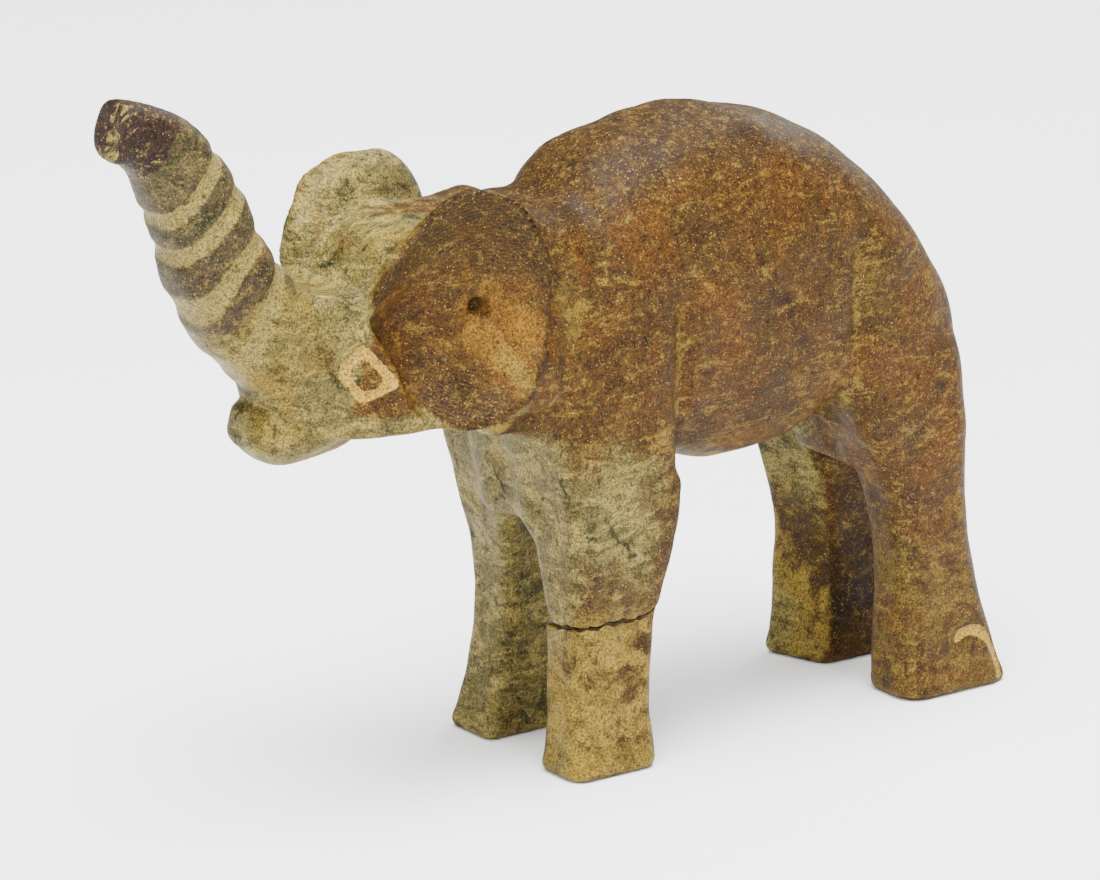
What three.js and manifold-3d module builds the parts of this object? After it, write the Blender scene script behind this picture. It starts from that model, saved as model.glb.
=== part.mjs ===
// A soapstone elephant, carved from one small slab of stone, its trunk raised. Millimetres, +Z up.
// It looks towards -X, its left side is towards -Y, its soles lie on z = 0, and the origin is
// under the middle of its outline. The left foreleg has broken off below the knee and is glued back.
import * as THREE from "three";
import { edgeTable, triTable } from "three/addons/objects/MarchingCubes.js";
import { mergeVertices } from "three/addons/utils/BufferGeometryUtils.js";
import Module from "manifold-3d";

// Driving dimensions
const BACK_HEIGHT = 67;
const BREAK_HEIGHT = 17.2;
const GLUE_THICKNESS = 0.4;
const GLUE_GAP = 0.12;
const EYE_LENGTH = 7.2;
const EYE_GROOVE = 1.05;
const NAIL_HEIGHT = 7.2;
const NAIL_GROOVE = 0.9;
const CARVING_DEPTH = 0.4;
const TRUNK_GROOVE = 1.3;
const TRIANGLES = 6600;
const LOWER_LEG_SLIP = 0.25;
const CUTTER_REACH = 3;

// Pose, proportions and carving are shares of the back's height, in hundredths
const SHARE = BACK_HEIGHT / 100;
const GRID_CELL = 1.8 * SHARE;
const TRUNK = {
  x: [-68, -76.7, -84.5, -90, -92.9, -96.2, -99.6, -103.9, -108],
  z: [69.5, 72.6, 78.6, 86.7, 94.6, 101.4, 106.3, 109.2, 110.3],
  radius: [8.4, 9.0, 8.6, 8.1, 7.5, 6.9, 5.9, 5.1, 4.8],
};
const BACK = {
  x: [-50, -40, -34, -27.5, -16, -1, 11, 19, 27, 34, 39, 43],
  top: [80, 85.7, 88.2, 94.5, 98.6, 99.4, 96.5, 92.3, 85.3, 76.7, 67.5, 54.1],
  belly: [62, 56, 50, 48, 46, 43, 44.6, 49.3, 50, 50, 50, 52],
  half: [11, 13.2, 13, 16.3, 18.2, 18.8, 18.6, 18.3, 17.9, 16.3, 14, 7.9],
};
const CHEEK = {
  x: [-92, -80, -72, -64, -56, -48, -40],
  low: [6.2, 7.6, 10.4, 13.6, 16.2, 17.4, 17.2],
  high: [6, 7, 8.2, 9.2, 9.6, 10, 11],
};
const FORELEG = {
  z: [0, 15, 25, 38, 50, 75],
  rear: [-20.3, -20.9, -20.2, -16.8, -16, -17],
  inner: [6.5, 7, 6.8, 4, 2, 2],
};
const LEFT_FORELEG = {
  front: [-37, -36.2, -36.5, -37.5, -39, -37],
  outer: [17.8, 17.3, 17.6, 18.2, 18.2, 13],
};
const RIGHT_FORELEG = {
  front: [-36.6, -33.5, -32.8, -35.5, -38.3, -36.9],
  outer: [18.5, 17, 17.2, 17.6, 18, 13],
};
const HIND_LEG = {
  z: [0, 10, 25, 36, 50, 75],
  rear: [50, 46.4, 42.6, 41.1, 39.9, 28.2],
  outer: [18, 17.4, 17.2, 17.8, 18.2, 13],
  inner: [5, 5.5, 5.5, 4.5, 2, 0],
};
const LEFT_HIND_FRONT = [28, 27.6, 27.4, 25, 17, 10];
const RIGHT_HIND_FRONT = [26.8, 27.3, 27, 24.3, 18.1, 12];
const EAR = {
  x: -55, z: 78.2, up: 18.6, down: 18.8, rear: 13.6, face: 17.2, flare: 0.2, bowl: 5, thick: 3.8, sink: 0.6,
};
const LEFT_EAR = { front: 14.2, corner: 2.15 };
const RIGHT_EAR = { front: 16.6, corner: 2.5 };
const LEFT_EAR_SLANT = 13.4;

const clamp = THREE.MathUtils.clamp;
const lerp = THREE.MathUtils.lerp;

// Soft joins, cuts and overlaps of two forms, over a blend given in shares
function join(a, b, blend) {
  const k = blend * SHARE;
  const h = clamp(0.5 + (0.5 * (b - a)) / k, 0, 1);
  return lerp(b, a, h) - k * h * (1 - h);
}
const both = (a, b, blend) => -join(-a, -b, blend);
const cut = (a, b, blend) => -join(-a, b, blend);

// A smooth profile through values at stations, both in shares
function profile(stations, values) {
  const last = stations.length - 1;
  const step = stations.map((s, i) => stations[Math.min(i + 1, last)] - s);
  const rise = values.map((v, i) => (i < last ? (values[i + 1] - v) / step[i] : 0));
  const slope = values.map((v, i) => {
    if (i === 0) return rise[0];
    if (i === last) return rise[last - 1];
    return (step[i - 1] * rise[i] + step[i] * rise[i - 1]) / (step[i] + step[i - 1]);
  });
  return (at) => {
    let i = 0;
    while (i < last - 1 && at > stations[i + 1]) i += 1;
    const t = clamp((at - stations[i]) / step[i], 0, 1);
    const s = t * t * (3 - 2 * t);
    const lean = t * (1 - t) * step[i];
    return lerp(values[i], values[i + 1], s) + lean * ((1 - t) * slope[i] - t * slope[i + 1]);
  };
}

// Distance to the plane through (x, z) whose normal leans (nx, nz), in millimetres
function plane(p, x, z, nx, nz) {
  return ((p.x - x * SHARE) * nx + (p.z - z * SHARE) * nz) / Math.hypot(nx, nz);
}

// An egg with its own radius each way along x and z, its section squared by a power
function egg(p, centre, radius, power) {
  const dx = p.x - centre.x * SHARE;
  const dz = p.z - centre.z * SHARE;
  const rx = (dx > 0 ? radius.rear : radius.front) * SHARE;
  const rz = (dz > 0 ? radius.up : radius.down) * SHARE;
  const across = Math.abs(p.y / (radius.side * SHARE));
  const sum = Math.abs(dx / rx) ** power + across ** power + Math.abs(dz / rz) ** power;
  const rho = Math.max(sum, 1e-9) ** (1 / power);
  const least = Math.min(radius.side, radius.up, radius.down, radius.front) * SHARE;
  return rho > 0.35 ? Math.hypot(dx, p.y, dz) * (1 - 1 / rho) : (rho - 1) * least;
}

// A block with rounded edges, symmetric about the middle plane
function block(p, centre, half, round) {
  const qx = Math.abs(p.x - centre.x * SHARE) - (half.x - round) * SHARE;
  const qy = Math.abs(p.y) - (half.y - round) * SHARE;
  const qz = Math.abs(p.z - centre.z * SHARE) - (half.z - round) * SHARE;
  const outside = Math.hypot(Math.max(qx, 0), Math.max(qy, 0), Math.max(qz, 0));
  return outside + Math.min(Math.max(qx, qy, qz), 0) - round * SHARE;
}

// The barrel of the body: a squared oval whose top, belly and width follow the back's profile
const backTop = profile(BACK.x, BACK.top);
const backBelly = profile(BACK.x, BACK.belly);
const backHalf = profile(BACK.x, BACK.half);
function barrel(p) {
  const last = BACK.x[BACK.x.length - 1];
  const at = clamp(p.x / SHARE, BACK.x[0], last);
  const middle = (backTop(at) + backBelly(at)) / 2;
  const high = (backTop(at) - backBelly(at)) / 2;
  const wide = backHalf(at);
  const power = 2.4;
  const sum = Math.abs(p.y / SHARE / wide) ** power + Math.abs((p.z / SHARE - middle) / high) ** power;
  const skin = (Math.max(sum, 1e-9) ** (1 / power) - 1) * Math.min(wide, high) * SHARE * 0.85;
  return both(both(skin, p.x - last * SHARE, 5), BACK.x[0] * SHARE - p.x, 4);
}

// A leg: a squared column whose four faces follow profiles up its height
function leg(stations, front, rear, outer, inner, round, top) {
  const faces = [front, rear, outer, inner].map((values) => profile(stations, values));
  return (x, side, z) => {
    const at = clamp(z / SHARE, -5, top);
    const [a, b, out, inn] = faces.map((face) => face(at) * SHARE);
    const r = round * SHARE;
    const qx = Math.abs(x - (a + b) / 2) - (b - a) / 2 + r;
    const qy = Math.abs(side - (out + inn) / 2) - (out - inn) / 2 + r;
    const column = Math.hypot(Math.max(qx, 0), Math.max(qy, 0)) + Math.min(Math.max(qx, qy), 0) - r;
    return both(both(column, z - top * SHARE, 6), -z - 4 * SHARE, 1);
  };
}
const { z: FORE_Z, rear: FORE_REAR, inner: FORE_INNER } = FORELEG;
const { z: HIND_Z, rear: HIND_REAR, outer: HIND_OUTER, inner: HIND_INNER } = HIND_LEG;
const leftForeleg = leg(FORE_Z, LEFT_FORELEG.front, FORE_REAR, LEFT_FORELEG.outer, FORE_INNER, 3, 72);
const rightForeleg = leg(FORE_Z, RIGHT_FORELEG.front, FORE_REAR, RIGHT_FORELEG.outer, FORE_INNER, 2.2, 72);
const leftHindLeg = leg(HIND_Z, LEFT_HIND_FRONT, HIND_REAR, HIND_OUTER, HIND_INNER, 4.2, 64);
const rightHindLeg = leg(HIND_Z, RIGHT_HIND_FRONT, HIND_REAR, HIND_OUTER, HIND_INNER, 2.6, 64);

// The trunk: a round section carried along its raised path
const trunkX = profile(TRUNK.x.map((_, i) => i), TRUNK.x);
const trunkZ = profile(TRUNK.x.map((_, i) => i), TRUNK.z);
const trunkRadius = profile(TRUNK.x.map((_, i) => i), TRUNK.radius);
const TRUNK_STEPS = 32;
const trunkPath = Array.from({ length: TRUNK_STEPS + 1 }, (_, i) => {
  const at = (i / TRUNK_STEPS) * (TRUNK.x.length - 1);
  return { x: trunkX(at), z: trunkZ(at), radius: trunkRadius(at) };
});
function trunk(p) {
  const x = p.x / SHARE;
  const z = p.z / SHARE;
  let nearest = { gap: Infinity, radius: 1 };
  for (let i = 0; i < TRUNK_STEPS; i += 1) {
    const a = trunkPath[i];
    const b = trunkPath[i + 1];
    const length = Math.hypot(b.x - a.x, b.z - a.z);
    const along = ((x - a.x) * (b.x - a.x) + (z - a.z) * (b.z - a.z)) / length ** 2;
    const t = clamp(along, 0, 1);
    const gap = Math.hypot(x - lerp(a.x, b.x, t), z - lerp(a.z, b.z, t));
    if (gap >= nearest.gap) continue;
    nearest = { gap, radius: lerp(a.radius, b.radius, t) };
  }
  const [beforeTip, tip] = trunkPath.slice(-2);
  const past = plane(p, tip.x, tip.z, tip.x - beforeTip.x, tip.z - beforeTip.z);
  const power = 2.6;
  const across = Math.abs((p.y / SHARE) * 1.03 / nearest.radius);
  const sum = (nearest.gap / nearest.radius) ** power + across ** power;
  const skin = ((sum + 1e-9) ** (1 / power) - 1) * nearest.radius;
  return both(skin * SHARE, past - 0.2 * SHARE, 1.2);
}

// The head: crown and sloping forehead over a muzzle whose top makes a ledge, with widening cheeks
const cheekLow = profile(CHEEK.x, CHEEK.low);
const cheekHigh = profile(CHEEK.x, CHEEK.high);
function head(p) {
  const x = p.x / SHARE;
  const half = lerp(cheekLow(x), cheekHigh(x), THREE.MathUtils.smoothstep(p.z / SHARE, 66, 86));
  const cheek = Math.abs(p.y) - half * SHARE;
  const jaw = plane(p, -60, 59.6, 0.04, -1);
  const crown = plane(p, -55, 90.3, -0.03, 1);
  const forehead = plane(p, -70.6, 81, -0.8, 0.6);
  const upper = both(both(both(both(crown, forehead, 4), cheek, 4.5), jaw, 3), plane(p, -38, 70, 1, 0), 3);
  const ledge = plane(p, -73, 81.8, -0.12, 1);
  const front = both(plane(p, -82, 70, -1, 0.35), plane(p, -64, 70, 1, 0), 2);
  const muzzle = both(both(both(ledge, cheek + 0.4 * SHARE, 4), jaw, 3), front, 5);
  const lip = egg(p, { x: -79.4, z: 61.4 }, { front: 6.2, rear: 14, side: 6.8, up: 5.5, down: 6.2 }, 2.5);
  return join(join(join(upper, muzzle, 0.8), trunk(p), 3), lip, 2.5);
}

// The ears: thin plates that flare to the rear, hollowed like shallow bowls that run out flush into the
// cheek low in front. The left one's upper front edge is cut off along a slant.
function earPlace(p, shape) {
  const x = p.x / SHARE - EAR.x;
  const z = p.z / SHARE - EAR.z;
  const lowFront = 1 - 0.36 * THREE.MathUtils.smoothstep(-z, -2, 9);
  const rx = x > 0 ? EAR.rear : shape.front * lowFront;
  const rz = z > 0 ? EAR.up : EAR.down;
  const rho = (Math.abs(x / rx) ** shape.corner + Math.abs(z / rz) ** shape.corner) ** (1 / shape.corner);
  const bowl = Math.max(1 - ((x + 0.5) / shape.front) ** 2 - ((z - 1) / 17.5) ** 2, -0.6);
  const flush = THREE.MathUtils.smoothstep(-x, 0, 9) * THREE.MathUtils.smoothstep(-z, -6, 3);
  const skin = (EAR.face + EAR.flare * x + 0.04 * z - EAR.bowl * (bowl + EAR.sink * flush)) * SHARE;
  return { rho, skin, slant: (0.69 * z - 0.72 * x - LEFT_EAR_SLANT) * SHARE };
}
function withEar(p, stone) {
  const left = p.y < 0;
  const { rho, skin, slant } = earPlace(p, left ? LEFT_EAR : RIGHT_EAR);
  const outside = (Math.abs(p.y) - skin) * 0.9;
  const inside = (skin - EAR.thick * SHARE - Math.abs(p.y)) * 0.9;
  const oval = (rho - 1) * 13 * SHARE;
  const rim = left ? both(oval, slant, 1.5) : oval;
  const plate = both(both(rim, outside, 1.8), inside, 2.2);
  const behindSlant = !left || slant < 2 * SHARE;
  const dished = Math.abs(p.y) > 6 * SHARE && rho < 1.25 && behindSlant;
  return join(dished ? cut(stone, -outside, 0.8) : stone, plate, 1.2);
}

// Soft upright grooves that part the shoulder and the thigh from the flank
function groove(p, x, z, width, length, depth) {
  const away = Math.hypot((p.x / SHARE - x) / width, Math.max(Math.abs(p.z / SHARE - z) - length, 0) / width);
  return depth * SHARE * Math.exp(-away * away);
}

// The whole stone as one distance: negative inside
function stone(x, y, z) {
  const p = { x, y, z };
  let body = join(barrel(p), block(p, { x: -40, z: 72 }, { x: 11, y: 13.4, z: 16.9 }, 6.5), 4);
  body = join(body, leftForeleg(x, -y, z), 5);
  body = join(body, rightForeleg(x, y, z), 5);
  body = join(body, leftHindLeg(x, -y, z), 5);
  body = join(body, rightHindLeg(x + 0.3 * (y - 12 * SHARE), y, z), 5);
  body = join(body, block(p, { x: -28, z: 50 }, { x: 9.5, y: 8, z: 11.5 }, 3), 2.5);
  body = join(body, block(p, { x: 32, z: 47 }, { x: 8.5, y: 7, z: 9.5 }, 1.2), 1.5);
  body = join(body, withEar(p, head(p)), 2);
  const grooves = groove(p, -17, 60, 2.2, 11, 0.9) + groove(p, 17, 62, 2.6, 13, 0.8);
  return Math.abs(y) > 8 * SHARE ? body + grooves : body;
}

// Grid lines from low to high, a cell apart
function gridLines(low, high) {
  const cells = Math.ceil((high - low) / GRID_CELL);
  return Array.from({ length: cells + 1 }, (_, i) => lerp(low, high, i / cells));
}

// A closed mesh of a form's surface: marching cubes, then vertices evened out and drawn onto it
const CORNERS = [[0, 0, 0], [1, 0, 0], [1, 1, 0], [0, 1, 0], [0, 0, 1], [1, 0, 1], [1, 1, 1], [0, 1, 1]];
const EDGES = [
  [0, 1], [1, 2], [2, 3], [3, 0], [4, 5], [5, 6], [6, 7], [7, 4], [0, 4], [1, 5], [2, 6], [3, 7],
];
function sculpt(form, xs, ys, zs, passes) {
  const index = (i, j, k) => i + xs.length * (j + ys.length * k);
  const field = new Float64Array(xs.length * ys.length * zs.length);
  zs.forEach((z, k) => ys.forEach((y, j) => xs.forEach((x, i) => {
    field[index(i, j, k)] = form(x, y, z);
  })));
  const points = [];
  const faces = [];
  const known = new Map();
  const crossing = (cell, edge) => {
    const [a, b] = EDGES[edge].map((corner) => CORNERS[corner].map((step, axis) => cell[axis] + step));
    const [ia, ib] = [index(...a), index(...b)];
    const key = Math.min(ia, ib) * field.length + Math.max(ia, ib);
    if (!known.has(key)) {
      const t = clamp(field[ia] / (field[ia] - field[ib]), 0.12, 0.88);
      known.set(key, points.length);
      points.push(new THREE.Vector3(
        lerp(xs[a[0]], xs[b[0]], t), lerp(ys[a[1]], ys[b[1]], t), lerp(zs[a[2]], zs[b[2]], t)));
    }
    return known.get(key);
  };
  for (let k = 0; k < zs.length - 1; k += 1) {
    for (let j = 0; j < ys.length - 1; j += 1) {
      for (let i = 0; i < xs.length - 1; i += 1) {
        let inside = 0;
        CORNERS.forEach(([a, b, c], bit) => {
          if (field[index(i + a, j + b, k + c)] < 0) inside += 2 ** bit;
        });
        if (edgeTable[inside] === 0) continue;
        for (let t = inside * 16; triTable[t] !== -1; t += 3) {
          const edges = [triTable[t + 2], triTable[t + 1], triTable[t]];
          faces.push(edges.map((edge) => crossing([i, j, k], edge)));
        }
      }
    }
  }
  for (let pass = 0; pass < passes; pass += 1) evenOut(form, points, faces);
  return { points, faces };
}

// How nearly a face must keep its direction when a corner moves: the cosine of the largest turn
const LEAST_TURN = 0.6;

// Fewer, larger triangles where the surface is flatter: the cheapest edges collapse first. An edge's
// cost is the squared distance of its new point to the planes of all the faces that met there.
function thinOut({ points, faces }, target) {
  const around = points.map(() => new Set());
  const planes = points.map(() => new Float64Array(10));
  faces.forEach((face, f) => {
    const [a, b, c] = face.map((i) => points[i]);
    const normal = new THREE.Vector3().crossVectors(b.clone().sub(a), c.clone().sub(a));
    const weight = normal.length();
    normal.normalize();
    const row = [normal.x, normal.y, normal.z, -normal.dot(a)];
    for (const i of face) {
      around[i].add(f);
      let at = 0;
      for (let m = 0; m < 4; m += 1) {
        for (let n = m; n < 4; n += 1) {
          planes[i][at] += weight * row[m] * row[n];
          at += 1;
        }
      }
    }
  });
  const error = (q, { x, y, z }) => q[0] * x * x + 2 * q[1] * x * y + 2 * q[2] * x * z + 2 * q[3] * x
    + q[4] * y * y + 2 * q[5] * y * z + 2 * q[6] * y + q[7] * z * z + 2 * q[8] * z + q[9];
  const stamp = new Int32Array(points.length);
  const queue = new Heap();
  const offer = (a, b) => {
    const q = planes[a].map((value, i) => value + planes[b][i]);
    const choices = [0.5, 0, 1].map((t) => points[a].clone().lerp(points[b], t));
    const costs = choices.map((choice) => error(q, choice));
    const best = costs.indexOf(Math.min(...costs));
    const length = points[a].distanceToSquared(points[b]);
    queue.push({ cost: costs[best] + 1e-4 * length, a, b, to: choices[best], age: stamp[a] + stamp[b] });
  };
  const neighbours = (i) => new Set([...around[i]].flatMap((f) => faces[f]).filter((n) => n !== i));
  points.forEach((_, a) => neighbours(a).forEach((b) => {
    if (a < b) offer(a, b);
  }));
  const facing = (face) => {
    const [a, b, c] = face;
    return new THREE.Vector3().crossVectors(b.clone().sub(a), c.clone().sub(a));
  };
  const keepsShape = (moved, other, to) => [...around[moved]].every((f) => {
    if (faces[f].includes(other)) return true;
    const before = facing(faces[f].map((i) => points[i]));
    const corners = faces[f].map((i) => (i === moved ? to : points[i]));
    const after = facing(corners);
    const longest = Math.max(...corners.map((corner, i) => corner.distanceToSquared(corners[(i + 1) % 3])));
    const turn = before.dot(after) / Math.max(before.length() * after.length(), 1e-12);
    return turn > LEAST_TURN && after.length() > 0.12 * longest;
  });
  let left = faces.length;
  while (left > target && queue.size > 0) {
    const { a, b, to, age } = queue.pop();
    if (!around[a].size || !around[b].size || age !== stamp[a] + stamp[b]) continue;
    const shared = [...around[a]].filter((f) => around[b].has(f));
    const nearB = neighbours(b);
    if (shared.length !== 2 || [...neighbours(a)].filter((n) => nearB.has(n)).length !== 2) continue;
    if (!keepsShape(a, b, to) || !keepsShape(b, a, to)) continue;
    for (const f of shared) {
      faces[f].forEach((i) => around[i].delete(f));
      faces[f] = null;
      left -= 1;
    }
    for (const f of around[b]) {
      faces[f] = faces[f].map((i) => (i === b ? a : i));
      around[a].add(f);
    }
    around[b].clear();
    points[a].copy(to);
    planes[a].forEach((_, i) => {
      planes[a][i] += planes[b][i];
    });
    stamp[a] += 1 + stamp[b];
    for (const n of neighbours(a)) offer(a, n);
  }
  const geometry = new THREE.BufferGeometry().setFromPoints(points);
  return geometry.setIndex(faces.filter((face) => face).flat());
}

// A queue that gives back its cheapest entry first
class Heap {
  entries = [];

  get size() {
    return this.entries.length;
  }

  push(entry) {
    const list = this.entries;
    let i = list.push(entry) - 1;
    while (i > 0 && list[(i - 1) >> 1].cost > entry.cost) {
      list[i] = list[(i - 1) >> 1];
      i = (i - 1) >> 1;
    }
    list[i] = entry;
  }

  pop() {
    const list = this.entries;
    const top = list[0];
    const last = list.pop();
    if (list.length === 0) return top;
    let i = 0;
    while (2 * i + 1 < list.length) {
      let child = 2 * i + 1;
      if (child + 1 < list.length && list[child + 1].cost < list[child].cost) child += 1;
      if (list[child].cost >= last.cost) break;
      list[i] = list[child];
      i = child;
    }
    list[i] = last;
    return top;
  }
}

// The slope of a form's distance at a point
function slopeAt(form, { x, y, z }) {
  const d = 0.02;
  return new THREE.Vector3(
    form(x + d, y, z) - form(x - d, y, z),
    form(x, y + d, z) - form(x, y - d, z),
    form(x, y, z + d) - form(x, y, z - d)).divideScalar(2 * d);
}

// One pass: each vertex slides along the surface towards its neighbours' middle, then back onto it
function evenOut(form, points, faces) {
  const sums = points.map(() => ({ middle: new THREE.Vector3(), count: 0 }));
  for (const face of faces) {
    for (const [a, b] of [[0, 1], [1, 2], [2, 0]]) {
      sums[face[a]].middle.add(points[face[b]]);
      sums[face[a]].count += 1;
    }
  }
  points.forEach((point, i) => {
    const normal = slopeAt(form, point).normalize();
    const slide = sums[i].middle.divideScalar(sums[i].count).sub(point).multiplyScalar(0.5);
    point.add(slide.addScaledVector(normal, -slide.dot(normal)));
  });
  for (let step = 0; step < 2; step += 1) {
    for (const point of points) {
      const slope = slopeAt(form, point);
      const reach = clamp(form(point.x, point.y, point.z) / Math.max(slope.lengthSq(), 0.25), -0.5, 0.5);
      point.addScaledVector(slope, -reach);
    }
  }
}

// Between three.js geometry and solids that can be joined and cut
const wasm = await Module();
wasm.setup();
function solid(geometry) {
  geometry.deleteAttribute("normal");
  geometry.deleteAttribute("uv");
  const merged = mergeVertices(geometry, 1e-4);
  return new wasm.Manifold(new wasm.Mesh({
    numProp: 3,
    vertProperties: Float32Array.from(merged.attributes.position.array),
    triVerts: Uint32Array.from(merged.index.array),
  }));
}
function surface(shape) {
  const mesh = shape.getMesh();
  const geometry = new THREE.BufferGeometry();
  geometry.setAttribute("position", new THREE.BufferAttribute(mesh.vertProperties, 3));
  return geometry.setIndex(new THREE.BufferAttribute(mesh.triVerts, 1));
}
function box(low, high) {
  const size = new THREE.Vector3().subVectors(high, low);
  const middle = new THREE.Vector3().addVectors(low, high).divideScalar(2);
  return solid(new THREE.BoxGeometry(size.x, size.y, size.z).translate(middle.x, middle.y, middle.z));
}

// A flat outline in x and z, carried along y from one depth to another
function slab(shape, fromY, toY) {
  const depth = toY - fromY;
  const geometry = new THREE.ExtrudeGeometry(shape, { depth, bevelEnabled: false, curveSegments: 6 });
  return geometry.rotateX(Math.PI / 2).translate(0, toY, 0);
}

// The ground stone, flat under its soles
const REACH = { x: 120, y: 30, z: 125 };
const stoneMesh = sculpt(
  stone,
  gridLines(-117 * SHARE, 56 * SHARE),
  gridLines(-24 * SHARE, 24 * SHARE),
  gridLines(-7 * SHARE, 119 * SHARE),
  3);
let elephant = solid(thinOut(stoneMesh, TRIANGLES));
elephant = elephant.intersect(box(
  new THREE.Vector3(-REACH.x, -REACH.y, 0).multiplyScalar(SHARE),
  new THREE.Vector3(REACH.x, REACH.y, REACH.z).multiplyScalar(SHARE)));

// Where the stone's side lies at a place given in millimetres, by halving
function sideAt(x, z, side) {
  let inner = 0;
  let outer = 30 * SHARE;
  for (let i = 0; i < 24; i += 1) {
    const middle = (inner + outer) / 2;
    if (stone(x, side * middle, z) < 0) inner = middle;
    else outer = middle;
  }
  return side * inner;
}

// Carved bands around the trunk: tilted rings sunk to the carving depth
const TRUNK_BANDS = [2.25, 3.2, 4.1, 4.95];
for (const at of TRUNK_BANDS) {
  const radius = trunkRadius(at) * SHARE + TRUNK_GROOVE / 2 - CARVING_DEPTH;
  const ahead = Math.atan2(trunkZ(at + 0.1) - trunkZ(at - 0.1), trunkX(at + 0.1) - trunkX(at - 0.1));
  const ring = new THREE.TorusGeometry(radius, TRUNK_GROOVE / 2, 6, 22);
  ring.rotateY(Math.PI / 2).rotateY(-ahead - 0.32).translate(trunkX(at) * SHARE, 0, trunkZ(at) * SHARE);
  elephant = elephant.subtract(solid(ring));
}

// The mouth: a wedge that opens forward between the trunk's root and the lip
const mouth = new THREE.Shape([
  new THREE.Vector2(-92, 67.6), new THREE.Vector2(-81, 64.6), new THREE.Vector2(-92, 65.4),
].map((corner) => corner.multiplyScalar(SHARE)));
elephant = elephant.subtract(solid(slab(mouth, -15 * SHARE, 15 * SHARE)));

// The eyes: a diamond ring incised in each cheek
const DIAMOND = [[-0.28, -0.95], [0.55, -0.62], [0.72, -0.28], [-0.1, 1], [-0.62, 0.3]];
function diamond(length) {
  return DIAMOND.map(([x, z]) => new THREE.Vector2((x * length) / 2, (z * length) / 2));
}
const EYE = { x: -69.9 * SHARE, z: 69.6 * SHARE };
for (const side of [-1, 1]) {
  const ring = new THREE.Shape(diamond(EYE_LENGTH));
  ring.holes.push(new THREE.Path(diamond(EYE_LENGTH - 2 * EYE_GROOVE * 1.25)));
  const lean = Math.atan2(
    Math.abs(sideAt(EYE.x + 1.5, EYE.z, side)) - Math.abs(sideAt(EYE.x - 1.5, EYE.z, side)), 3);
  const cutter = side > 0
    ? slab(ring, -CARVING_DEPTH, CUTTER_REACH)
    : slab(ring, -CUTTER_REACH, CARVING_DEPTH);
  cutter.rotateZ(side * lean).translate(EYE.x, sideAt(EYE.x, EYE.z, side), EYE.z);
  elephant = elephant.subtract(solid(cutter));
}

// The toenails: an arc incised low on the outer side of each hind foot, towards the heel
const NAIL = { x: 40.6 * SHARE, z: 3.4 * SHARE, wide: 4.6 * SHARE };
for (const side of [-1, 1]) {
  const arc = new THREE.Shape();
  arc.absellipse(NAIL.x, 0, NAIL.wide, NAIL_HEIGHT, Math.PI * 0.62, Math.PI * 0.02, true);
  arc.absellipse(
    NAIL.x, 0, NAIL.wide - NAIL_GROOVE, NAIL_HEIGHT - NAIL_GROOVE, Math.PI * 0.02, Math.PI * 0.62, false);
  const cutter = side > 0
    ? slab(arc, -CARVING_DEPTH, CUTTER_REACH)
    : slab(arc, -CUTTER_REACH, CARVING_DEPTH);
  elephant = elephant.subtract(solid(cutter.translate(0, sideAt(NAIL.x, NAIL.z, side), 0)));
}

// The break across the left foreleg: an uneven line in x and z that each face of it follows. The lower
// piece was glued back a little too far forward.
const BREAK_LINE = [
  [-46, 0.4], [-36, 0.2], [-32.5, -1.1], [-29, -0.6], [-25.5, -0.9], [-22.5, 0.7], [-20, 1.5], [-12, 1.8],
];
const BREAK_BACK = -2.6 * SHARE;
const BREAK_FRONT = -27 * SHARE;
function below(lift) {
  const line = BREAK_LINE.map(([x, z]) => new THREE.Vector2(x * SHARE, BREAK_HEIGHT + z * SHARE + lift));
  const ends = [line[line.length - 1].x, line[0].x].map((x) => new THREE.Vector2(x, -5));
  return solid(slab(new THREE.Shape(line.concat(ends)), BREAK_FRONT, BREAK_BACK));
}
const crack = GLUE_THICKNESS + 2 * GLUE_GAP;
const slipped = (shape) => shape.translate(-LOWER_LEG_SLIP, 0, 0);
const lowerLeg = slipped(elephant.intersect(below(-crack / 2)));
const glue = elephant.intersect(below(GLUE_THICKNESS / 2)).subtract(slipped(below(-GLUE_THICKNESS / 2)));
const body = elephant.subtract(below(crack / 2));

// The finished pieces, each with its own colour
const STONE = new THREE.MeshStandardMaterial({ color: 0x8a6a3c, roughness: 0.42, metalness: 0 });
const LEG_STONE = new THREE.MeshStandardMaterial({ color: 0xa08d57, roughness: 0.5, metalness: 0 });
const GLUE = new THREE.MeshStandardMaterial({ color: 0x2a1408, roughness: 0.2, metalness: 0 });
const PIECES = [
  ["elephant_body", body, STONE],
  ["left_foreleg_lower", lowerLeg, LEG_STONE],
  ["glue_seam", glue, GLUE],
];

// The outline's middle is moved over the origin
const outline = new THREE.Box3();
const meshes = PIECES.map(([name, shape, material]) => {
  const mesh = new THREE.Mesh(surface(shape), material);
  mesh.name = name;
  outline.expandByObject(mesh);
  return mesh;
});
const middle = outline.getCenter(new THREE.Vector3());
const group = new THREE.Group();
for (const mesh of meshes) {
  mesh.position.set(-middle.x, -middle.y, 0);
  group.add(mesh);
}

export default group;
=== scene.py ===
"""A soapstone elephant on a pale floor: the carved stone, its glued-back foreleg and the glue line."""
import math
from types import SimpleNamespace

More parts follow.
